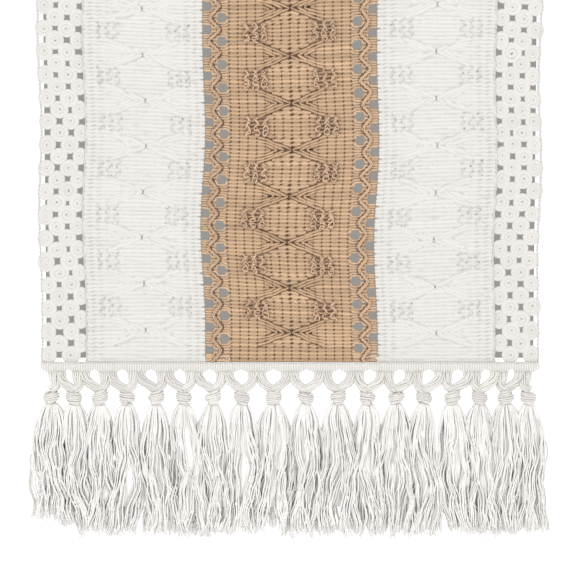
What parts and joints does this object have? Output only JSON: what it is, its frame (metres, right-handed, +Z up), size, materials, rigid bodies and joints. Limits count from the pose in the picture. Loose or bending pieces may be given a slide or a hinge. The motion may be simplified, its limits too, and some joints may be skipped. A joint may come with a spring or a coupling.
{
  "type": "table runner",
  "caption": "Fringed table runner draped over a table: a tan knitted strip between two white ones, openwork lace edges, and a knotted tassel fringe at each end.",
  "frame": {"origin": "the middle of the runner's underside, where it lies on the table", "axes": "+Z up; Y along the runner, with the front drop facing -Y; X across it, +X to the right as seen from the front"},
  "size_m": [0.3068, 1.0828, 0.3823],
  "materials": {
    "white_cotton": "off-white cotton warp knit, matt",
    "tan_yarn": "tan cotton warp knit with a dull sheen",
    "hem_tape": "fine-ribbed white cotton tape, matt",
    "fringe_cotton": "loose white cotton strands, matt and fuzzy"
  },
  "bodies": {
    "table_section": {"lace_edge_left_top": "white_cotton", "white_strip_left_top": "white_cotton", "tan_strip_top": "tan_yarn", "white_strip_right_top": "white_cotton", "lace_edge_right_top": "white_cotton"},
    "front_drop": {"lace_edge_left_front": "white_cotton", "white_strip_left_front": "white_cotton", "tan_strip_front": "tan_yarn", "white_strip_right_front": "white_cotton", "lace_edge_right_front": "white_cotton", "hem_tape_front": "hem_tape"},
    "front_net": {"knot_net_front": "fringe_cotton"},
    "front_tassel_01": {"tassel_front_01": "fringe_cotton"},
    "front_tassel_02": {"tassel_front_02": "fringe_cotton"},
    "front_tassel_03": {"tassel_front_03": "fringe_cotton"},
    "front_tassel_04": {"tassel_front_04": "fringe_cotton"},
    "front_tassel_05": {"tassel_front_05": "fringe_cotton"},
    "front_tassel_06": {"tassel_front_06": "fringe_cotton"},
    "front_tassel_07": {"tassel_front_07": "fringe_cotton"},
    "front_tassel_08": {"tassel_front_08": "fringe_cotton"},
    "front_tassel_09": {"tassel_front_09": "fringe_cotton"},
    "front_tassel_10": {"tassel_front_10": "fringe_cotton"},
    "front_tassel_11": {"tassel_front_11": "fringe_cotton"},
    "front_tassel_12": {"tassel_front_12": "fringe_cotton"},
    "front_tassel_13": {"tassel_front_13": "fringe_cotton"},
    "front_tassel_14": {"tassel_front_14": "fringe_cotton"},
    "front_tassel_15": {"tassel_front_15": "fringe_cotton"},
    "front_tassel_16": {"tassel_front_16": "fringe_cotton"},
    "front_tassel_17": {"tassel_front_17": "fringe_cotton"},
    "front_tassel_18": {"tassel_front_18": "fringe_cotton"},
    "rear_drop": {"lace_edge_left_rear": "white_cotton", "white_strip_left_rear": "white_cotton", "tan_strip_rear": "tan_yarn", "white_strip_right_rear": "white_cotton", "lace_edge_right_rear": "white_cotton", "hem_tape_rear": "hem_tape"},
    "rear_net": {"knot_net_rear": "fringe_cotton"},
    "rear_tassel_01": {"tassel_rear_01": "fringe_cotton"},
    "rear_tassel_02": {"tassel_rear_02": "fringe_cotton"},
    "rear_tassel_03": {"tassel_rear_03": "fringe_cotton"},
    "rear_tassel_04": {"tassel_rear_04": "fringe_cotton"},
    "rear_tassel_05": {"tassel_rear_05": "fringe_cotton"},
    "rear_tassel_06": {"tassel_rear_06": "fringe_cotton"},
    "rear_tassel_07": {"tassel_rear_07": "fringe_cotton"},
    "rear_tassel_08": {"tassel_rear_08": "fringe_cotton"},
    "rear_tassel_09": {"tassel_rear_09": "fringe_cotton"},
    "rear_tassel_10": {"tassel_rear_10": "fringe_cotton"},
    "rear_tassel_11": {"tassel_rear_11": "fringe_cotton"},
    "rear_tassel_12": {"tassel_rear_12": "fringe_cotton"},
    "rear_tassel_13": {"tassel_rear_13": "fringe_cotton"},
    "rear_tassel_14": {"tassel_rear_14": "fringe_cotton"},
    "rear_tassel_15": {"tassel_rear_15": "fringe_cotton"},
    "rear_tassel_16": {"tassel_rear_16": "fringe_cotton"},
    "rear_tassel_17": {"tassel_rear_17": "fringe_cotton"},
    "rear_tassel_18": {"tassel_rear_18": "fringe_cotton"}
  },
  "joints": [
    {"name": "front_drop_fold", "type": "hinge", "parent": "table_section", "child": "front_drop", "pos_m": [0, -0.5314, -0.002], "axis": [-1, 0, 0], "range_deg": [0, 90]},
    {"name": "front_net_swing", "type": "hinge", "parent": "front_drop", "child": "front_net", "pos_m": [0, -0.5344, -0.28179], "axis": [-1, 0, 0], "range_deg": [-60, 60]},
    {"name": "front_tassel_01_swing", "type": "hinge", "parent": "front_net", "child": "front_tassel_01", "pos_m": [0, -0.5344, -0.29909], "axis": [-1, 0, 0], "range_deg": [-75, 75]},
    {"name": "front_tassel_02_swing", "type": "hinge", "parent": "front_net", "child": "front_tassel_02", "pos_m": [0, -0.5344, -0.29909], "axis": [-1, 0, 0], "range_deg": [-75, 75]},
    {"name": "front_tassel_03_swing", "type": "hinge", "parent": "front_net", "child": "front_tassel_03", "pos_m": [0, -0.5344, -0.29909], "axis": [-1, 0, 0], "range_deg": [-75, 75]},
    {"name": "front_tassel_04_swing", "type": "hinge", "parent": "front_net", "child": "front_tassel_04", "pos_m": [0, -0.5344, -0.29909], "axis": [-1, 0, 0], "range_deg": [-75, 75]},
    {"name": "front_tassel_05_swing", "type": "hinge", "parent": "front_net", "child": "front_tassel_05", "pos_m": [0, -0.5344, -0.29909], "axis": [-1, 0, 0], "range_deg": [-75, 75]},
    {"name": "front_tassel_06_swing", "type": "hinge", "parent": "front_net", "child": "front_tassel_06", "pos_m": [0, -0.5344, -0.29909], "axis": [-1, 0, 0], "range_deg": [-75, 75]},
    {"name": "front_tassel_07_swing", "type": "hinge", "parent": "front_net", "child": "front_tassel_07", "pos_m": [0, -0.5344, -0.29909], "axis": [-1, 0, 0], "range_deg": [-75, 75]},
    {"name": "front_tassel_08_swing", "type": "hinge", "parent": "front_net", "child": "front_tassel_08", "pos_m": [0, -0.5344, -0.29909], "axis": [-1, 0, 0], "range_deg": [-75, 75]},
    {"name": "front_tassel_09_swing", "type": "hinge", "parent": "front_net", "child": "front_tassel_09", "pos_m": [0, -0.5344, -0.29909], "axis": [-1, 0, 0], "range_deg": [-75, 75]},
    {"name": "front_tassel_10_swing", "type": "hinge", "parent": "front_net", "child": "front_tassel_10", "pos_m": [0, -0.5344, -0.29909], "axis": [-1, 0, 0], "range_deg": [-75, 75]},
    {"name": "front_tassel_11_swing", "type": "hinge", "parent": "front_net", "child": "front_tassel_11", "pos_m": [0, -0.5344, -0.29909], "axis": [-1, 0, 0], "range_deg": [-75, 75]},
    {"name": "front_tassel_12_swing", "type": "hinge", "parent": "front_net", "child": "front_tassel_12", "pos_m": [0, -0.5344, -0.29909], "axis": [-1, 0, 0], "range_deg": [-75, 75]},
    {"name": "front_tassel_13_swing", "type": "hinge", "parent": "front_net", "child": "front_tassel_13", "pos_m": [0, -0.5344, -0.29909], "axis": [-1, 0, 0], "range_deg": [-75, 75]},
    {"name": "front_tassel_14_swing", "type": "hinge", "parent": "front_net", "child": "front_tassel_14", "pos_m": [0, -0.5344, -0.29909], "axis": [-1, 0, 0], "range_deg": [-75, 75]},
    {"name": "front_tassel_15_swing", "type": "hinge", "parent": "front_net", "child": "front_tassel_15", "pos_m": [0, -0.5344, -0.29909], "axis": [-1, 0, 0], "range_deg": [-75, 75]},
    {"name": "front_tassel_16_swing", "type": "hinge", "parent": "front_net", "child": "front_tassel_16", "pos_m": [0, -0.5344, -0.29909], "axis": [-1, 0, 0], "range_deg": [-75, 75]},
    {"name": "front_tassel_17_swing", "type": "hinge", "parent": "front_net", "child": "front_tassel_17", "pos_m": [0, -0.5344, -0.29909], "axis": [-1, 0, 0], "range_deg": [-75, 75]},
    {"name": "front_tassel_18_swing", "type": "hinge", "parent": "front_net", "child": "front_tassel_18", "pos_m": [0, -0.5344, -0.29909], "axis": [-1, 0, 0], "range_deg": [-75, 75]},
    {"name": "rear_drop_fold", "type": "hinge", "parent": "table_section", "child": "rear_drop", "pos_m": [0, 0.5314, -0.002], "axis": [1, 0, 0], "range_deg": [0, 90]},
    {"name": "rear_net_swing", "type": "hinge", "parent": "rear_drop", "child": "rear_net", "pos_m": [0, 0.5344, -0.28179], "axis": [1, 0, 0], "range_deg": [-60, 60]},
    {"name": "rear_tassel_01_swing", "type": "hinge", "parent": "rear_net", "child": "rear_tassel_01", "pos_m": [0, 0.5344, -0.29909], "axis": [1, 0, 0], "range_deg": [-75, 75]},
    {"name": "rear_tassel_02_swing", "type": "hinge", "parent": "rear_net", "child": "rear_tassel_02", "pos_m": [0, 0.5344, -0.29909], "axis": [1, 0, 0], "range_deg": [-75, 75]},
    {"name": "rear_tassel_03_swing", "type": "hinge", "parent": "rear_net", "child": "rear_tassel_03", "pos_m": [0, 0.5344, -0.29909], "axis": [1, 0, 0], "range_deg": [-75, 75]},
    {"name": "rear_tassel_04_swing", "type": "hinge", "parent": "rear_net", "child": "rear_tassel_04", "pos_m": [0, 0.5344, -0.29909], "axis": [1, 0, 0], "range_deg": [-75, 75]},
    {"name": "rear_tassel_05_swing", "type": "hinge", "parent": "rear_net", "child": "rear_tassel_05", "pos_m": [0, 0.5344, -0.29909], "axis": [1, 0, 0], "range_deg": [-75, 75]},
    {"name": "rear_tassel_06_swing", "type": "hinge", "parent": "rear_net", "child": "rear_tassel_06", "pos_m": [0, 0.5344, -0.29909], "axis": [1, 0, 0], "range_deg": [-75, 75]},
    {"name": "rear_tassel_07_swing", "type": "hinge", "parent": "rear_net", "child": "rear_tassel_07", "pos_m": [0, 0.5344, -0.29909], "axis": [1, 0, 0], "range_deg": [-75, 75]},
    {"name": "rear_tassel_08_swing", "type": "hinge", "parent": "rear_net", "child": "rear_tassel_08", "pos_m": [0, 0.5344, -0.29909], "axis": [1, 0, 0], "range_deg": [-75, 75]},
    {"name": "rear_tassel_09_swing", "type": "hinge", "parent": "rear_net", "child": "rear_tassel_09", "pos_m": [0, 0.5344, -0.29909], "axis": [1, 0, 0], "range_deg": [-75, 75]},
    {"name": "rear_tassel_10_swing", "type": "hinge", "parent": "rear_net", "child": "rear_tassel_10", "pos_m": [0, 0.5344, -0.29909], "axis": [1, 0, 0], "range_deg": [-75, 75]},
    {"name": "rear_tassel_11_swing", "type": "hinge", "parent": "rear_net", "child": "rear_tassel_11", "pos_m": [0, 0.5344, -0.29909], "axis": [1, 0, 0], "range_deg": [-75, 75]},
    {"name": "rear_tassel_12_swing", "type": "hinge", "parent": "rear_net", "child": "rear_tassel_12", "pos_m": [0, 0.5344, -0.29909], "axis": [1, 0, 0], "range_deg": [-75, 75]},
    {"name": "rear_tassel_13_swing", "type": "hinge", "parent": "rear_net", "child": "rear_tassel_13", "pos_m": [0, 0.5344, -0.29909], "axis": [1, 0, 0], "range_deg": [-75, 75]},
    {"name": "rear_tassel_14_swing", "type": "hinge", "parent": "rear_net", "child": "rear_tassel_14", "pos_m": [0, 0.5344, -0.29909], "axis": [1, 0, 0], "range_deg": [-75, 75]},
    {"name": "rear_tassel_15_swing", "type": "hinge", "parent": "rear_net", "child": "rear_tassel_15", "pos_m": [0, 0.5344, -0.29909], "axis": [1, 0, 0], "range_deg": [-75, 75]},
    {"name": "rear_tassel_16_swing", "type": "hinge", "parent": "rear_net", "child": "rear_tassel_16", "pos_m": [0, 0.5344, -0.29909], "axis": [1, 0, 0], "range_deg": [-75, 75]},
    {"name": "rear_tassel_17_swing", "type": "hinge", "parent": "rear_net", "child": "rear_tassel_17", "pos_m": [0, 0.5344, -0.29909], "axis": [1, 0, 0], "range_deg": [-75, 75]},
    {"name": "rear_tassel_18_swing", "type": "hinge", "parent": "rear_net", "child": "rear_tassel_18", "pos_m": [0, 0.5344, -0.29909], "axis": [1, 0, 0], "range_deg": [-75, 75]}
  ]
}
